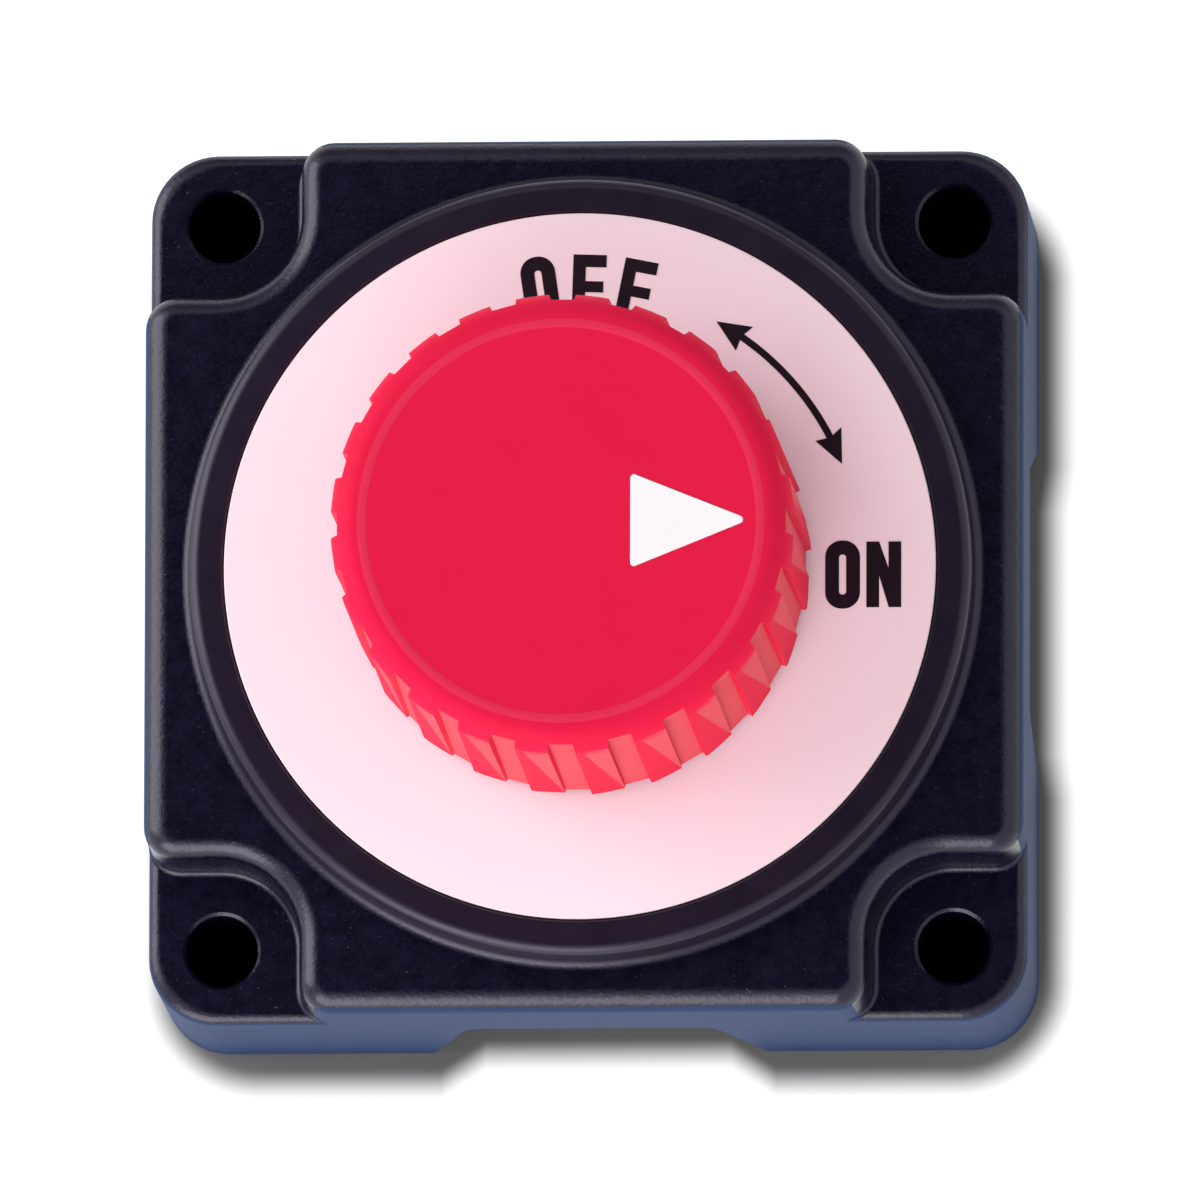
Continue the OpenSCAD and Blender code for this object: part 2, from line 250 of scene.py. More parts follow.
def soften(obj, width):
    """Rounds the sharp edges a little."""
    bevel = obj.modifiers.new("soft edges", "BEVEL")
    bevel.width = width * MM
    bevel.segments = 2
    bevel.limit_method = "ANGLE"
    bevel.angle_limit = math.radians(30)
    bevel.use_clamp_overlap = True


def flat_print(name, loops, z, thickness):
    """A thin flat shape: the loops are filled, and a loop inside another is a hole."""
    curve = bpy.data.curves.new(name, "CURVE")
    curve.dimensions = "2D"
    curve.fill_mode = "BOTH"
    curve.extrude = thickness * MM / 2
    for loop in loops:
        spline = curve.splines.new("POLY")
        spline.points.add(len(loop) - 1)
        for point, (x, y) in zip(spline.points, loop):
            point.co = (x * MM, y * MM, 0, 1)
        spline.use_cyclic_u = True
    temp = bpy.data.objects.new(name + ".curve", curve)
    bpy.context.scene.collection.objects.link(temp)
    graph = bpy.context.evaluated_depsgraph_get()
    mesh = bpy.data.meshes.new_from_object(temp.evaluated_get(graph))
    bpy.data.objects.remove(temp)
    mesh.transform(Matrix.Translation((0, 0, (z + thickness / 2) * MM)))
    obj = bpy.data.objects.new(name, mesh)
    bpy.context.scene.collection.objects.link(obj)
    return obj


def ring_print(name, loops, z, thickness):
    """A thin flat ring between an outer and an inner loop of equal length."""
    count = len(loops[0])
    levels = [(0, z), (1, z), (1, z + thickness), (0, z + thickness)]
    points = [(x, y, level) for loop, level in levels for x, y in loops[loop]]
    faces = [[k * count + i, k * count + (i + 1) % count,
              (k + 1) % 4 * count + (i + 1) % count, (k + 1) % 4 * count + i]
             for k in range(4) for i in range(count)]
    faces = [face[::-1] for face in faces]
    return new_object(name, points, faces)


# ---- materials -----------------------------------------------------------------------------

class Look:
    """A Principled material with helpers for its procedural detail."""

    def __init__(self, name, rough, metallic=0.0):
        self.material = bpy.data.materials.new(name)
        self.material.use_nodes = True
        self.nodes = self.material.node_tree.nodes
        self.links = self.material.node_tree.links
        self.shader = self.nodes["Principled BSDF"]
        self.shader.inputs["Roughness"].default_value = rough
        self.shader.inputs["Metallic"].default_value = metallic
        self.shader.inputs["IOR"].default_value = 1.5
        self.coords = self.nodes.new("ShaderNodeTexCoord").outputs["Object"]
        self.bumped = None

    def set(self, **values):
        """Sets inputs of the shader, named with _ for a space."""
        for key, value in values.items():
            self.shader.inputs[key.replace("_", " ")].default_value = value

    def noise(self, size, detail=3.0, stretch=(1, 1, 1)):
        """Noise whose features are about size millimetres across."""
        mapping = self.nodes.new("ShaderNodeMapping")
        mapping.inputs["Scale"].default_value = stretch
        self.links.new(self.coords, mapping.inputs["Vector"])
        node = self.nodes.new("ShaderNodeTexNoise")
        node.inputs["Scale"].default_value = 1 / (size * MM)
        node.inputs["Detail"].default_value = detail
        node.inputs["Roughness"].default_value = 0.55
        self.links.new(mapping.outputs["Vector"], node.inputs["Vector"])
        return node.outputs["Fac"]

    def ramp(self, fac, low, high, start=0.0, end=1.0):
        """Remaps fac from start..end to low..high."""
        node = self.nodes.new("ShaderNodeMapRange")
        node.inputs["From Min"].default_value = start
        node.inputs["From Max"].default_value = end
        node.inputs["To Min"].default_value = low
        node.inputs["To Max"].default_value = high
        self.links.new(fac, node.inputs["Value"])
        return node.outputs["Result"]

    def maths(self, operation, a, b):
        """Works out a with b, where b is a number or a socket."""
        node = self.nodes.new("ShaderNodeMath")
        node.operation = operation
        self.links.new(a, node.inputs[0])
        if isinstance(b, float):
            node.inputs[1].default_value = b
        else:
            self.links.new(b, node.inputs[1])
        return node.outputs["Value"]

    def vector(self, operation, a, b=None):
        """Works out the vector a, with b where the operation takes two."""
        node = self.nodes.new("ShaderNodeVectorMath")
        node.operation = operation
        self.links.new(a, node.inputs[0])
        if b is not None:
            node.inputs[1].default_value = b
        return node

    def mix(self, fac, a, b):
        """Mixes two colours, each three numbers or a socket."""
        first_colour, second_colour, mixed = 6, 7, 2
        node = self.nodes.new("ShaderNodeMix")
        node.data_type = "RGBA"
        self.links.new(fac, node.inputs["Factor"])
        for key, value in ((first_colour, a), (second_colour, b)):
            if isinstance(value, tuple):
                node.inputs[key].default_value = (*value, 1)
            else:
                self.links.new(value, node.inputs[key])
        return node.outputs[mixed]

    def colour(self, socket):
        self.links.new(socket, self.shader.inputs["Base Color"])

    def rough(self, socket):
        self.links.new(socket, self.shader.inputs["Roughness"])

    def bump(self, height, depth, strength):
        """Adds a bump whose height is depth millimetres."""
        node = self.nodes.new("ShaderNodeBump")
        node.inputs["Strength"].default_value = strength
        node.inputs["Distance"].default_value = depth * MM
        self.links.new(height, node.inputs["Height"])
        if self.bumped is not None:
            self.links.new(self.bumped, node.inputs["Normal"])
        self.bumped = node.outputs["Normal"]
        self.links.new(self.bumped, self.shader.inputs["Normal"])


def housing_look():
    """Black moulding with a fine grain and a few pale specks."""
    look = Look("housing_black", 0.32)
    look.set(Specular_IOR_Level=0.50, Specular_Tint=(0.90, 0.84, 1.0, 1))
    grain = look.noise(0.35, detail=4)
    specks = look.ramp(look.noise(0.22, detail=1.0), 0.0, 1.0, 0.74, 0.80)
    patches = look.ramp(look.noise(1.3), 0, 1, 0.35, 0.65)
    black = look.mix(patches, (0.0006, 0.0006, 0.0080), (0.0050, 0.0030, 0.0170))
    look.colour(look.mix(look.maths("MULTIPLY", specks, 0.25), black, (0.30, 0.30, 0.36)))
    look.rough(look.ramp(grain, 0.17, 0.34))
    look.bump(grain, 0.05, 0.65)
    look.bump(look.noise(0.12, detail=2), 0.02, 0.4)
    return look.material


def painted_sheen_wall_look():
    """The same moulding on its upright walls, dull, and slate blue as a painted sheen: the cool light that
    the black walls reflect at a grazing view is put into their colour.
    """
    look = Look("housing_wall_painted_sheen", 0.6)
    look.set(Specular_IOR_Level=0.12, Specular_Tint=(0.6, 0.75, 1.0, 1))
    # painted sheen: this slate blue stands for cool reflected light on the black walls
    look.colour(look.mix(look.noise(2.5), (0.016, 0.033, 0.088), (0.023, 0.042, 0.104)))
    look.rough(look.ramp(look.noise(0.35, detail=4), 0.52, 0.70))
    look.bump(look.noise(0.3), 0.03, 0.6)
    return look.material


def rim_look():
    """The turret's smooth satin rim."""
    look = Look("rim_black", 0.34)
    look.set(Specular_IOR_Level=0.45, Specular_Tint=(0.90, 0.80, 1.0, 1))
    look.colour(look.mix(look.noise(8), (0.0060, 0.0035, 0.0120), (0.0110, 0.0060, 0.0180)))
    look.rough(look.ramp(look.noise(3), 0.28, 0.42))
    look.bump(look.noise(0.6), 0.008, 0.5)
    return look.material


def dial_bounce_tint_look():
    """The dial's pale film, tinted pink all over: the tint is painted red bounce light from the knob."""
    look = Look("dial_print", 0.5)
    look.set(Specular_IOR_Level=0.25)
    # painted bounce light: the pink stands for red light thrown on the pale film by the knob
    look.colour(look.mix(look.noise(14), (0.93, 0.74, 0.83), (0.95, 0.77, 0.85)))
    look.rough(look.ramp(look.noise(1.5), 0.42, 0.55))
    look.bump(look.noise(0.5), 0.006, 0.5)
    return look.material


def ink_look():
    """The dial's near-black ink."""
    look = Look("print_ink", 0.5)
    look.set(Specular_IOR_Level=0.15)
    look.colour(look.mix(look.noise(0.6), (0.006, 0.002, 0.007), (0.016, 0.006, 0.014)))
    look.rough(look.ramp(look.noise(0.3), 0.42, 0.6))
    look.bump(look.noise(0.15), 0.004, 0.4)
    return look.material


def knob_look(name, rough, specular, colour, other):
    """Red moulding between two shades."""
    look = Look(name, rough)
    look.set(Specular_IOR_Level=specular)
    look.colour(look.mix(look.noise(5), colour, other))
    look.rough(look.ramp(look.noise(0.8), rough - 0.05, rough + 0.07))
    look.bump(look.noise(0.3), 0.010, 0.6)
    return look.material


def pointer_look():
    """The pointer's white filling."""
    look = Look("pointer_white", 0.45)
    look.colour(look.mix(look.noise(2), (0.84, 0.79, 0.82), (0.88, 0.83, 0.86)))
    look.rough(look.ramp(look.noise(0.6), 0.4, 0.5))
    look.bump(look.noise(0.3), 0.006, 0.5)
    return look.material


def plastic_look(name, colour, other, rough=0.5, grain=0.4):
    """Plastic or rubber between two shades, with a grain of the given size."""
    look = Look(name, rough)
    look.colour(look.mix(look.noise(4), colour, other))
    look.rough(look.ramp(look.noise(1.2), rough - 0.08, rough + 0.1))
    look.bump(look.noise(grain), 0.015, 0.6)
    return look.material


def metal_look(name, colour, other, rough, stretch=(1, 1, 1)):
    """Metal with fine scratches drawn out along one axis and a little tarnish."""
    look = Look(name, rough, metallic=1.0)
    look.colour(look.mix(look.noise(3, detail=5), colour, other))
    look.rough(look.ramp(look.noise(0.5, stretch=stretch), rough - 0.1, rough + 0.14))
    look.bump(look.noise(0.2, stretch=stretch), 0.004, 0.6)
    return look.material


HOUSING = housing_look()
WALL_SHEEN = painted_sheen_wall_look()
RIM = rim_look()
DIAL = dial_bounce_tint_look()
INK = ink_look()
KNOB = knob_look("knob_red", 0.40, 0.03, (0.66, 0.0100, 0.049), (0.71, 0.0130, 0.057))
# the rib feet: a little darker and duller, as painted shade
SHADED_RIB_FOOT = knob_look("knob_rib_foot_painted_shade", 0.55, 0.04, (0.66, 0.008, 0.042), (0.70, 0.012, 0.050))
# pinkish painted reflection on the grooves and the upper halves of the rib faces
PINK_REFLECTION = knob_look("knob_painted_reflection", 0.70, 0.10, (0.62, 0.060, 0.084), (0.67, 0.080, 0.100))
# a pinkish painted highlight along the crest of the bead round the knob's top
BEAD_HIGHLIGHT = knob_look("knob_bead_painted_highlight", 0.60, 0.08, (0.66, 0.022, 0.064), (0.70, 0.028, 0.074))
KNOB_LOOKS = (KNOB, SHADED_RIB_FOOT, PINK_REFLECTION, BEAD_HIGHLIGHT)
POINTER = pointer_look()
BASE_PLASTIC = plastic_look("base_plastic", (0.020, 0.020, 0.026), (0.030, 0.030, 0.036))
ROTOR_PLASTIC = plastic_look("rotor_plastic", (0.70, 0.62, 0.46), (0.78, 0.71, 0.55), 0.4)
DETENT_PLASTIC = plastic_look("detent_plastic", (0.42, 0.43, 0.45), (0.50, 0.51, 0.53), 0.45)
RUBBER = plastic_look("seal_rubber", (0.012, 0.012, 0.013), (0.020, 0.020, 0.021), 0.7, 0.2)
PTFE = plastic_look("ptfe", (0.80, 0.80, 0.78), (0.86, 0.86, 0.84), 0.35)
TIN = metal_look("tinned_copper", (0.70, 0.68, 0.63), (0.78, 0.76, 0.72), 0.3, (1, 1, 6))
COPPER = metal_look("bare_copper", (0.80, 0.36, 0.20), (0.66, 0.27, 0.15), 0.32, (6, 1, 1))
SILVER = metal_look("contact_silver", (0.86, 0.85, 0.82), (0.78, 0.77, 0.74), 0.25)
ZINC = metal_look("zinc_steel", (0.60, 0.62, 0.64), (0.70, 0.70, 0.68), 0.32)
STAINLESS = metal_look("stainless", (0.56, 0.56, 0.55), (0.64, 0.64, 0.62), 0.26, (1, 1, 5))
WIRE = metal_look("spring_steel", (0.45, 0.46, 0.47), (0.55, 0.56, 0.57), 0.28)
BRASS = metal_look("turned_brass", (0.72, 0.50, 0.20), (0.64, 0.43, 0.16), 0.26, (1, 1, 8))


def finish_piece(obj, material, body, slot, *nodes):
    """Gives a piece its material, unless it has one, and the body it rides on, and hides the CAD nodes it
    stands for; slot is not used.
    """
    if not obj.data.materials:
        obj.data.materials.append(material)
    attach(obj, body)
    if nodes:
        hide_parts(*nodes)


# ---- the housing ---------------------------------------------------------------------------

def foot_block():
    """The square block from the feet to the corner pads, with soft edges."""
    bottom, top = 0.4, 1.0
    rings = [(rounded_square(HALF - bottom * (1 - up), CORNER_R), bottom * across)
             for across, up in quarter_round(4)]
    rings += [(rounded_square(HALF - top * across, CORNER_R), PAD_Z - top * (1 - up))
              for across, up in quarter_round(6)]
    return stack("foot_block", rings)


def plateau_block():
    """The raised square between the pads: a flared foot, an upright wall and a rounded top edge."""
    flare, draft, spread, steps = 0.5, 0.2, 0.85, 5
    rings = [(notched_square(HALF, RECESS_R - flare, PLAN_ROUND), PAD_Z - OVERLAP)]
    for i in range(steps + 1):
        a = math.pi / 2 * i / steps
        recess = RECESS_R - flare + flare * math.sin(a)
        rings.append((notched_square(HALF, recess, PLAN_ROUND), PAD_Z + flare - flare * math.cos(a)))
    for across, up in quarter_round(8):
        inset = PLATEAU_EDGE * across
        recess = RECESS_R + draft + spread * inset
        rings.append((notched_square(HALF - inset, recess, PLAN_ROUND - inset),
                      PLATEAU_Z - PLATEAU_EDGE * (1 - up)))
    return stack("plateau_block", rings)


def turret_block():
    """The round turret with its rim, the dial's recess and the bearing boss."""
    foot, rim, lip, recess = 0.9, 0.9, 0.15, DIAL_R + 0.12
    floor_z = LABEL_TOP - LABEL_T
    profile = [(0, PLATEAU_Z - OVERLAP), (TURRET_R + foot, PLATEAU_Z - OVERLAP)]
    profile += [(TURRET_R + foot - foot * math.sin(a), PLATEAU_Z + foot - foot * math.cos(a))
                for a in [math.pi / 2 * i / 5 for i in range(6)]]
    profile += [(TURRET_R - rim * across, TURRET_Z - rim * (1 - up)) for across, up in quarter_round(8)]
    profile += [(recess + lip, TURRET_Z), (recess, TURRET_Z - lip), (recess, floor_z),
                (BOSS_R, floor_z), (BOSS_R, BOSS_TOP), (0, BOSS_TOP)]
    return lathe("turret_block", profile, 256)


def notch_cutter(turn):
    """A cable notch: sloping sides, rounded where they meet the foot and the top."""
    wide, bend, depth = NOTCH_FOOT + 3, 1.4, 5
    outline = rounded_polygon([(-wide, -OVERLAP), (wide, -OVERLAP), (wide, 0), (NOTCH_FOOT, 0),
                               (NOTCH_TOP, NOTCH_Z), (-NOTCH_TOP, NOTCH_Z), (-NOTCH_FOOT, 0),
                               (-wide, 0)], bend)
    cutter = stack("notch", [(outline, 0), (outline, depth)])
    # the outline's y is the height, and its third axis runs inwards from beyond the side
    stand = Matrix(((1, 0, 0, 0), (0, 0, -1, (HALF + CLEAR) * MM), (0, 1, 0, 0), (0, 0, 0, 1)))
    cutter.data.transform(Matrix.Rotation(math.radians(turn), 4, "Z") @ stand)
    return cutter


def hole_cutter(x, y):
    """A mounting hole with a small chamfer at the pad."""
    rim = 0.25
    return lathe("hole", [(0, -CLEAR), (HOLE_R, -CLEAR), (HOLE_R, PAD_Z - rim), (HOLE_R + rim, PAD_Z),
                          (HOLE_R + rim, PAD_Z + CLEAR), (0, PAD_Z + CLEAR)], 64, (x, y))


def cylinder(name, r, z0, z1, steps):
    return lathe(name, [(0, z0), (r, z0), (r, z1), (0, z1)], steps)


def make_housing():
    housing = foot_block()
    combine(housing, [plateau_block(), turret_block()], "UNION")
    compartment = notched_square(HALF - WALL, RECESS_R, 1.0)
    chamber = lathe("chamber", [(0, SEAT_Z - CLEAR), (CHAMBER_R, SEAT_Z - CLEAR), (CHAMBER_R, CHAMBER_TOP),
                                (BOSS_R, CHAMBER_TOP), (BOSS_R, BOSS_FOOT), (0, BOSS_FOOT)], 128)
    cutters = [stack("compartment", [(compartment, -CLEAR), (compartment, CEILING_Z)]),
               cylinder("seat", SEAT_R, CEILING_Z - CLEAR, SEAT_Z, 128), chamber,
               cylinder("bearing", BEARING_R, HEAD_TOP, BOSS_TOP + CLEAR, 96)]
    cutters += [notch_cutter(90 * k) for k in range(4)]
    cutters += [hole_cutter(x, y) for x in (-HOLE_XY, HOLE_XY) for y in (-HOLE_XY, HOLE_XY)]
    combine(housing, cutters, "DIFFERENCE")
    housing.name = "housing_shell"
    looks = (HOUSING, RIM, WALL_SHEEN)
    housing.data.materials.clear()
    for look in looks:
        housing.data.materials.append(look)
    corner_reach = HOLE_XY * 1.41 + 4        # the rounded corners lie beyond this radius
    steepest_top = 0.6                       # a face whose normal points up more than this is a top
    for face in housing.data.polygons:
        x, y, z = face.center / MM
        on_turret = math.hypot(x, y) < TURRET_R + 0.5 and z > PLATEAU_Z + 0.2
        outside = max(abs(x), abs(y)) > HALF - 0.5 or math.hypot(x, y) > corner_reach
        # steep faces round the outside below the plateau's top take the painted slate-blue sheen
        on_sheen_wall = outside and z < PLATEAU_Z - 0.1 and abs(face.normal.z) < steepest_top
        face.material_index = looks.index(RIM if on_turret else WALL_SHEEN if on_sheen_wall else HOUSING)
    shade(housing, 32)
    finish_piece(housing, HOUSING, "base", "housing_black", "housing")


# ---- the dial ------------------------------------------------------------------------------

INK_T = 0.03                          # thickness of the printed marks
CAP = 5.2                             # height of the letters
STEM = 1.0                            # width of their stems
LETTER_W = 2.74
LETTER_GAP = 0.5
ARC_R = 22.1                          # radius of the arrow and of the upper word's middle
ON_X = 22.3                           # middle of the word ON
ON_Y = -0.85
OFF_ANGLES = (98.2, 88.2, 78.6)       # where the letters of OFF stand on their circle, in degrees


def rounded_box(half_w, half_h, r):
    return rounded_polygon([(-half_w, -half_h), (half_w, -half_h), (half_w, half_h), (-half_w, half_h)], r, 8)


def letter_o():
    overshoot, slot_w, slot_h = 0.1, 0.56, 3.2
    return [rounded_box(LETTER_W / 2, CAP / 2 + overshoot, 1.3), rounded_box(slot_w / 2, slot_h / 2, 0.27)]


def letter_n():
    w, h, notch, lap, slant = LETTER_W / 2, CAP / 2, 2.1, 0.4, 0.02
    return [[(-w, -h), (-w + STEM, -h), (-w + STEM, notch + lap - h), (w - STEM + slant, -h), (w, -h),
             (w, h), (w - STEM, h), (w - STEM, h - notch), (-w + STEM, h), (-w, h)]]


def letter_f():
    w, h, arm, bar = LETTER_W / 2 - 0.06, CAP / 2, 0.98, 0.88
    bar_top, bar_end = h - 2.1, w - 0.2
    return [[(-w, -h), (-w + STEM, -h), (-w + STEM, bar_top - bar), (bar_end, bar_top - bar),
             (bar_end, bar_top), (-w + STEM, bar_top), (-w + STEM, h - arm), (w, h - arm), (w, h),
             (-w, h)]]


def placed(loops, x, y, degrees=0):
    return [[(px + x, py + y) for px, py in turned(loop, degrees)] for loop in loops]


def double_arrow():
    """A curved line with a solid head at each end."""
    start, end, half_line, spread = 21.0, 61.0, 0.28, 1.15
    head, barb = math.degrees(2.4 / ARC_R), math.degrees(0.22 / ARC_R)

    def at(r, degrees):
        return (r * math.cos(math.radians(degrees)), r * math.sin(math.radians(degrees)))

    outline = arc(0, 0, ARC_R + half_line, start + head, end - head, 24)
    outline += [at(ARC_R + spread, end - head - barb), at(ARC_R, end), at(ARC_R - spread, end - head - barb)]
    outline += arc(0, 0, ARC_R - half_line, end - head, start + head, 24)
    outline += [at(ARC_R - spread, start + head + barb), at(ARC_R, start),
                at(ARC_R + spread, start + head + barb)]
    return [outline]


def make_dial():
    edge, hole_r, z0 = 0.08, BOSS_R + 0.15, LABEL_TOP - LABEL_T
    label = lathe("dial_disc", [(hole_r, z0), (DIAL_R, z0), (DIAL_R, LABEL_TOP - edge),
                                (DIAL_R - edge, LABEL_TOP), (hole_r, LABEL_TOP)], 256)
    shade(label)
    finish_piece(label, DIAL, "base", "dial_print", "dial_label")
    step = (LETTER_W + LETTER_GAP) / 2
    marks = {"print_on_o": placed(letter_o(), ON_X - step, ON_Y),
             "print_on_n": placed(letter_n(), ON_X + step, ON_Y),
             "print_arrow": double_arrow()}
    off = {"print_off_o": letter_o(), "print_off_f1": letter_f(), "print_off_f2": letter_f()}
    for (name, letter), degrees in zip(off.items(), OFF_ANGLES):
        x, y = ARC_R * math.cos(math.radians(degrees)), ARC_R * math.sin(math.radians(degrees))
        marks[name] = placed(letter, x, y, degrees - 90)
    for name, loops in marks.items():
        draw = ring_print if len(loops) == 2 else flat_print
        mark = draw(name, loops, LABEL_TOP, INK_T)
        finish_piece(mark, INK, "base", "dial_print")


# ---- the knob ------------------------------------------------------------------------------

def rib_prism():
    """Ribs whose smooth feet rise along the diagonal of a matt face, with flat matt grooves between; the
    grooves and the faces' upper halves are painted pink as a painted reflection, and the feet a little darker
    as painted shade.
    """
    pitch = 360 / RIB_N
    rib, foot = pitch * 0.275, pitch * 0.295
    face_r, groove_r = RIB_R - CREASE, RIB_R - RIB_DEPTH
    levels = [(KNOB_Z, RIB_R - RIB_FOOT_DEPTH, RIB_R), (KNOB_TOP - SHOULDER_H, groove_r, face_r),
              (KNOB_TOP + CLEAR, groove_r, face_r)]
    points, faces, looks = [], [], []
    for z, low_r, high_r in levels:
        between = high_r * 0.75 + face_r * 0.25
        for k in range(RIB_N):
            middle = (k + 0.5) * pitch
            for offset, r in ((-foot, low_r), (-rib, high_r), (-rib / 2, between), (rib, face_r),
                              (foot, low_r)):
                a = math.radians(middle + offset)
                points.append((r * math.cos(a), r * math.sin(a), z))
    # the five strips from one rib to the next: flank, crease, face, flank, groove
    strips = 5
    crease, face, groove = 1, 2, 4
    ring = strips * RIB_N
    for level in range(len(levels) - 1):
        for i in range(ring):
            j = (i + 1) % ring
            a, b, c, d = level * ring + i, level * ring + j, (level + 1) * ring + j, (level + 1) * ring + i
            if i % strips == face:
                # face: lower triangle in the darker painted shade in the ribbed band and plain red above it,
                # upper triangle the painted pink reflection
                faces += [[a, b, d], [b, c, d]]
                looks += [KNOB if level else SHADED_RIB_FOOT, PINK_REFLECTION]
            else:
                faces.append([a, b, c, d])
                # creases take the painted shade, grooves the painted reflection, flanks the plain red
                looks.append({crease: SHADED_RIB_FOOT, groove: PINK_REFLECTION}.get(i % strips, KNOB))
    faces.append(list(range(ring))[::-1])
    faces.append(list(range(2 * ring, 3 * ring)))
    prism = new_object("ribs", points, faces)
    for material in KNOB_LOOKS:
        prism.data.materials.append(material)
    for polygon, look in zip(prism.data.polygons, looks):
        polygon.material_index = KNOB_LOOKS.index(look)
    return prism


def knob_form():
    """The turned outer form that trims the ribs: rounded shoulder, flat top with a bead, eased skirt."""
    top, crown, outer = KNOB_TOP - 0.05, KNOB_TOP - SHOULDER_H, RIB_R + 0.02
    shoulder = [(outer - SHOULDER_W * across, crown + (top - crown) * up) for across, up in quarter_round(16)]
    bead_w, bead_h, steps, start = 0.9, 0.04, 8, shoulder[-1][0]
    bead = [(start - bead_w * i / steps, top + bead_h * math.sin(math.pi * i / steps))
            for i in range(1, steps + 1)]
    skirt = [(RIB_R - 0.15, KNOB_Z), (outer, KNOB_Z + 0.25)]
    form = lathe("form", [(0, KNOB_Z)] + skirt + shoulder + bead + [(0, top)], 288)
    for material in KNOB_LOOKS:
        form.data.materials.append(material)
    # the crest of the bead is coloured as a painted highlight
    crest = start - bead_w / 2
    for polygon in form.data.polygons:
        r = math.hypot(*polygon.center[:2]) / MM
        if polygon.center.z > top * MM and abs(r - crest) < bead_w / 3:
            polygon.material_index = KNOB_LOOKS.index(BEAD_HIGHLIGHT)
    return form


def pointer_outline():
    return rounded_polygon([(POINTER_TAIL, -POINTER_HALF), (POINTER_TIP, 0), (POINTER_TAIL, POINTER_HALF)],
                           0.32, 5)


def make_knob():
    knob = rib_prism()
    combine(knob, [knob_form()], "INTERSECT")
    bore, hub_r, hub_z, roof, slope = 15.2, 8, 36.2, KNOB_TOP - 2.7, 1.5
    cavity = lathe("cavity", [(0, KNOB_Z - CLEAR), (bore, KNOB_Z - CLEAR), (bore, roof - slope),
                              (bore - slope, roof), (hub_r, roof), (hub_r, hub_z), (0, hub_z)], 128)
    outline, pocket_z = pointer_outline(), KNOB_TOP - POINTER_DEPTH
    pocket = stack("pocket", [(outline, pocket_z), (outline, KNOB_TOP + CLEAR)])
    combine(knob, [cavity, pocket], "DIFFERENCE")
    knob.name = "knob_cap"
    shade(knob, 9)
    finish_piece(knob, KNOB, "rotary", "knob_red", "knob")
    edge, middle = 0.1, 8.4
    inner = [(middle + (x - middle) * 0.98, y * 0.97) for x, y in outline]
    pointer = stack("pointer_inlay", [(outline, pocket_z), (outline, KNOB_TOP - edge), (inner, KNOB_TOP)])
    shade(pointer)
    finish_piece(pointer, POINTER, "rotary", "pointer_white", "knob_pointer")


# ---- terminals -----------------------------------------------------------------------------

def make_stud(name, node, side):
    """A stud with a cut thread, an eased end and a rectangular head."""
    pitch, depth, steps, per_turn, chamfer = 1.25, 0.62, 64, 10, 0.8
    top = HEAD_Z + 0.1
    levels = int((top - STUD_END) / pitch * per_turn)
    points, faces = [], []
    for k in range(levels + 1):
        z = STUD_END + (top - STUD_END) * k / levels
        for i in range(steps):
            phase = (z / pitch - i / steps) % 1.0
            cut = depth * (1 - min(1.0, 1.15 * abs(2 * phase - 1)))
            ease = max(0.0, chamfer - (z - STUD_END))
            r = min(STUD_R - cut, STUD_R - ease)
            a = 2 * math.pi * i / steps
            points.append((side * STUD_X + r * math.cos(a), r * math.sin(a), z))
    for k in range(levels):
        for i in range(steps):
            j = (i + 1) % steps
            faces.append([k * steps + i, k * steps + j, (k + 1) * steps + j, (k + 1) * steps + i])
    faces.append(list(range(steps))[::-1])
    faces.append(list(range(levels * steps, (levels + 1) * steps)))
    stud = new_object(name, points, faces)
    x = side * STUD_X
    half_l, half_w, corner = 7, 6, 1.5
    plan = rounded_polygon([(x - half_l, -half_w), (x + half_l, -half_w), (x + half_l, half_w),
                            (x - half_l, half_w)], corner, 6)
    head = stack("head", [(plan, HEAD_Z), (plan, HEAD_TOP)])
    combine(stud, [head], "UNION")
    shade(stud, 30)
    finish_piece(stud, TIN, "base", "tinned_copper", node)


def hex_radius(degrees):
    """Distance from the axis to a hexagon's side, with a corner on +X."""
    return NUT_AF / 2 / math.cos(math.radians((degrees % 60) - 30))


def make_nuts():
    """Two hexagon nuts, chamfered on both faces."""
    z0, z1 = [v[2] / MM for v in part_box("stud_nuts")]
    steps, bore, ring_r = 96, STUD_R + 0.05, NUT_AF / 2 * 0.96
    fall = math.tan(math.radians(28))
    points, faces = [], []
    for side in (-1, 1):
        start = len(points)
        for kind in range(6):
            for i in range(steps):
                degrees = 360 * i / steps
                outer = hex_radius(degrees)
                drop = (outer - ring_r) * fall
                r, z = [(bore, z0), (ring_r, z0), (outer, z0 + drop), (outer, z1 - drop), (ring_r, z1),
                        (bore, z1)][kind]
                a = math.radians(degrees)
                points.append((side * STUD_X + r * math.cos(a), r * math.sin(a), z))
        for kind in range(6):
            for i in range(steps):
                j = (i + 1) % steps
                a, b = start + kind * steps, start + (kind + 1) % 6 * steps
                faces.append([a + i, a + j, b + j, b + i])
    nuts = new_object("hex_nuts", points, faces)
    shade(nuts, 22)
    finish_piece(nuts, STAINLESS, "base", "stainless", "stud_nuts")


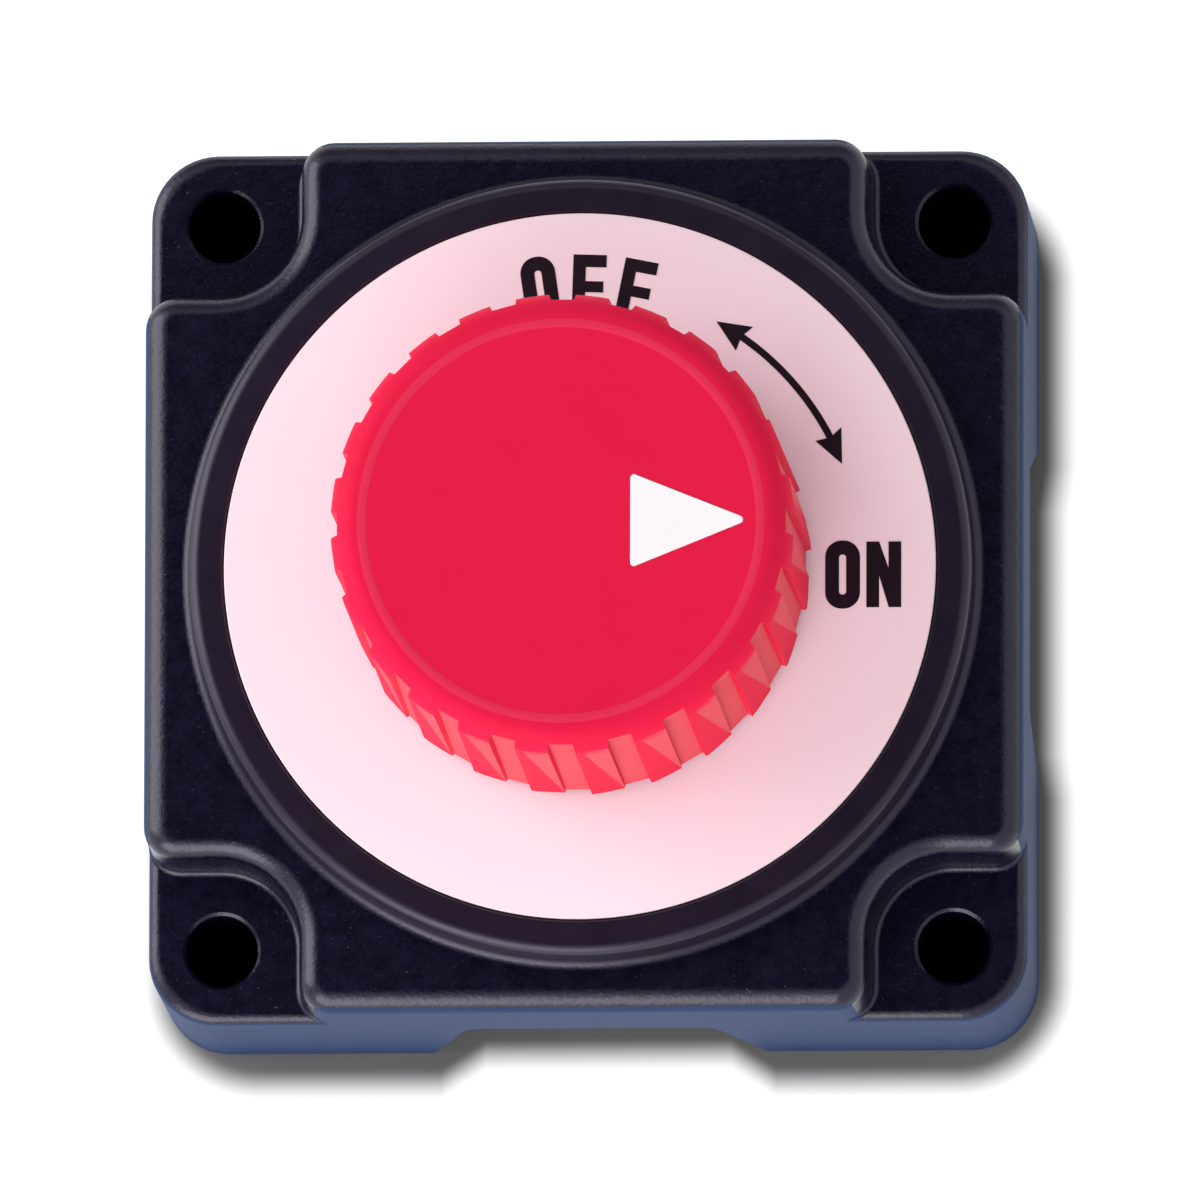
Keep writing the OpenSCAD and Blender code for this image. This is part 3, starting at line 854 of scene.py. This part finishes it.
def make_contact_spring():
    """Round wire in a helix inside the spindle."""
    low, high = (end[2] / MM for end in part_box("contact_spring"))
    radius, wire, turns, steps, sides = 2.6, 0.4, 5, 32, 12
    count = turns * steps
    points = []
    for i in range(count + 1):
        a = math.tau * i / steps
        z = low + wire + (high - low - 2 * wire) * i / count
        for j in range(sides):
            b = math.tau * j / sides
            r = radius + wire * math.cos(b)
            points.append((r * math.cos(a), r * math.sin(a), z + wire * math.sin(b)))
    faces = []
    for i in range(count):
        for j in range(sides):
            k = (j + 1) % sides
            faces.append([i * sides + j, (i + 1) * sides + j, (i + 1) * sides + k, i * sides + k])
    faces += [list(range(sides)), [count * sides + j for j in reversed(range(sides))]]
    spring = new_object("contact_coil", points, faces)
    shade(spring)
    finish_piece(spring, WIRE, "rotary", "spring_steel", "contact_spring")
    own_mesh(spring)


# ---- CAD pieces that keep their shape ------------------------------------------------------

def dress_cad_nodes():
    """Gives each remaining CAD node its material, and some of them softer edges."""
    looks = {"detent_ring": DETENT_PLASTIC, "contact_base": BASE_PLASTIC, "base_gasket": RUBBER,
             "base_screws": ZINC, "fixed_tips": SILVER, "stud_seals": RUBBER, "stud_washers": STAINLESS,
             "stud_lock_washers": STAINLESS, "knob_clip": WIRE, "spindle": BRASS, "spindle_seal": RUBBER,
             "bearing_washer": STAINLESS, "spindle_circlip": WIRE, "thrust_washer": PTFE,
             "rotor": ROTOR_PLASTIC, "detent_spring_n": WIRE, "detent_spring_s": WIRE,
             "contact_bridge": COPPER, "bridge_tips": SILVER, "detent_plunger_n": BRASS,
             "detent_plunger_s": BRASS}
    eased = {"contact_base": 0.3, "stud_washers": 0.15, "stud_lock_washers": 0.15, "base_screws": 0.08,
             "rotor": 0.2, "detent_ring": 0.15, "contact_bridge": 0.2}
    for node, material in looks.items():
        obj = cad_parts[node]
        for slot in obj.material_slots:
            slot.material = material
        if node in eased:
            weld = obj.modifiers.new("weld", "WELD")
            weld.merge_threshold = 1e-6
            soften(obj, eased[node])


# ---- stage, light and camera ---------------------------------------------------------------

def make_stage():
    """A floor that glows white, with a painted drop shadow: the glow fades out close round the feet, offset
    towards the front right and drawn back in front of the cable notches.
    """
    size, corner, inset, fade = 3000, 7.0, 0.3, 2.9
    floor = new_object("floor", [(-size, -size, 0), (size, -size, 0), (size, size, 0), (-size, size, 0)],
                       [[0, 1, 2, 3]])
    look = Look("floor_white_painted_shadow", 0.8)
    look.set(Specular_IOR_Level=0.1, Emission_Color=(1, 1, 1, 1))
    look.colour(look.mix(look.noise(400), (0.15, 0.15, 0.15), (0.16, 0.16, 0.16)))
    # the painted shadow is offset towards the front right
    painted_shadow_offset = look.nodes.new("ShaderNodeMapping")
    painted_shadow_offset.inputs["Location"].default_value = (-0.6 * MM, 1.35 * MM, 0)
    look.links.new(look.coords, painted_shadow_offset.inputs["Vector"])
    folded = look.vector("ABSOLUTE", painted_shadow_offset.outputs["Vector"])
    beyond = look.vector("SUBTRACT", folded.outputs["Vector"], ((HALF - corner) * MM,) * 3)
    beyond = look.vector("MAXIMUM", beyond.outputs["Vector"], (0, 0, 0))
    away = look.vector("LENGTH", beyond.outputs["Vector"]).outputs["Value"]
    split = look.nodes.new("ShaderNodeSeparateXYZ")
    look.links.new(folded.outputs["Vector"], split.inputs["Vector"])
    # the painted shadow is drawn back in front of the cable notches
    for axis, depth in (("X", 2.3), ("Y", 0.6)):
        notch = look.ramp(split.outputs[axis], depth * MM, 0.0, NOTCH_TOP * MM, NOTCH_FOOT * MM)
        away = look.maths("ADD", away, notch)
    # the glow that whitens the floor fades out over the painted shadow
    glow = look.ramp(away, 0.0, 1.0, (corner - inset) * MM, (corner + fade) * MM)
    glow.node.interpolation_type = "SMOOTHSTEP"
    look.links.new(glow, look.shader.inputs["Emission Strength"])
    floor.data.materials.append(look.material)


def area_light(name, direction, size, power):
    """A round softbox a metre from the object."""
    data = bpy.data.lights.new(name, "AREA")
    data.shape = "DISK"
    data.size = size
    data.energy = power
    light = bpy.data.objects.new(name, data)
    target = Vector((0, 0, 0.02))
    light.location = target + Vector(direction).normalized()
    light.rotation_euler = (target - light.location).to_track_quat("-Z", "Y").to_euler()
    bpy.context.scene.collection.objects.link(light)


def make_light():
    """A pale surround that is dark overhead, with two softboxes."""
    world = bpy.data.worlds.new("studio")
    world.use_nodes = True
    nodes, links = world.node_tree.nodes, world.node_tree.links
    split = nodes.new("ShaderNodeSeparateXYZ")
    links.new(nodes.new("ShaderNodeTexCoord").outputs["Generated"], split.inputs["Vector"])
    strength = nodes.new("ShaderNodeMath")
    strength.operation = "MULTIPLY"
    # dark overhead, and dim low down on the far side
    fades = (("Z", 0.82, 0.945, 1.0, 0.02), ("Y", 0.55, 0.90, 1.0, 0.35))
    for k, (axis, start, end, low, high) in enumerate(fades):
        fade = nodes.new("ShaderNodeMapRange")
        for key, value in (("From Min", start), ("From Max", end), ("To Min", low), ("To Max", high)):
            fade.inputs[key].default_value = value
        links.new(split.outputs[axis], fade.inputs["Value"])
        links.new(fade.outputs["Result"], strength.inputs[k])
    links.new(strength.outputs["Value"], nodes["Background"].inputs["Strength"])
    nodes["Background"].inputs["Color"].default_value = (1, 1, 1, 1)
    bpy.context.scene.world = world
    area_light("left", (-0.90, 0.24, 0.40), 1.0, 8)
    area_light("front", (-0.32, -0.88, 0.30), 0.9, 8)


def make_camera():
    """Looks down at the dial, a little from the front and the right, from far off."""
    azimuth, elevation, roll = math.radians(22.6), math.radians(81.0), math.radians(0.14)
    distance, span = 3.0, 94.34 * MM
    data = bpy.data.cameras.new("camera")
    data.sensor_width = 36
    data.lens = data.sensor_width * distance / span
    data.clip_start, data.clip_end = 0.1, 20
    away = Vector((math.sin(azimuth) * math.cos(elevation), -math.cos(azimuth) * math.cos(elevation),
                   math.sin(elevation)))
    right = Vector((0, 1, 0)).cross(away).normalized()
    up = away.cross(right)
    x_axis = right * math.cos(roll) + up * math.sin(roll)
    y_axis = up * math.cos(roll) - right * math.sin(roll)
    target = Vector((1.34, -2.09, 25.0)) * MM
    place = Matrix((x_axis, y_axis, away)).transposed().to_4x4()
    place.translation = target + away * distance
    camera = bpy.data.objects.new("camera", data)
    camera.matrix_world = place
    bpy.context.scene.collection.objects.link(camera)
    bpy.context.scene.camera = camera


bpy.context.scene.view_settings.view_transform = "Standard"
make_camera()
make_stage()
make_light()
make_housing()
make_dial()
make_knob()
for side, name in ((-1, "stud_supply"), (1, "stud_load")):
    make_stud(name + "_threaded", name, side)
make_nuts()
make_contact_spring()
dress_cad_nodes()
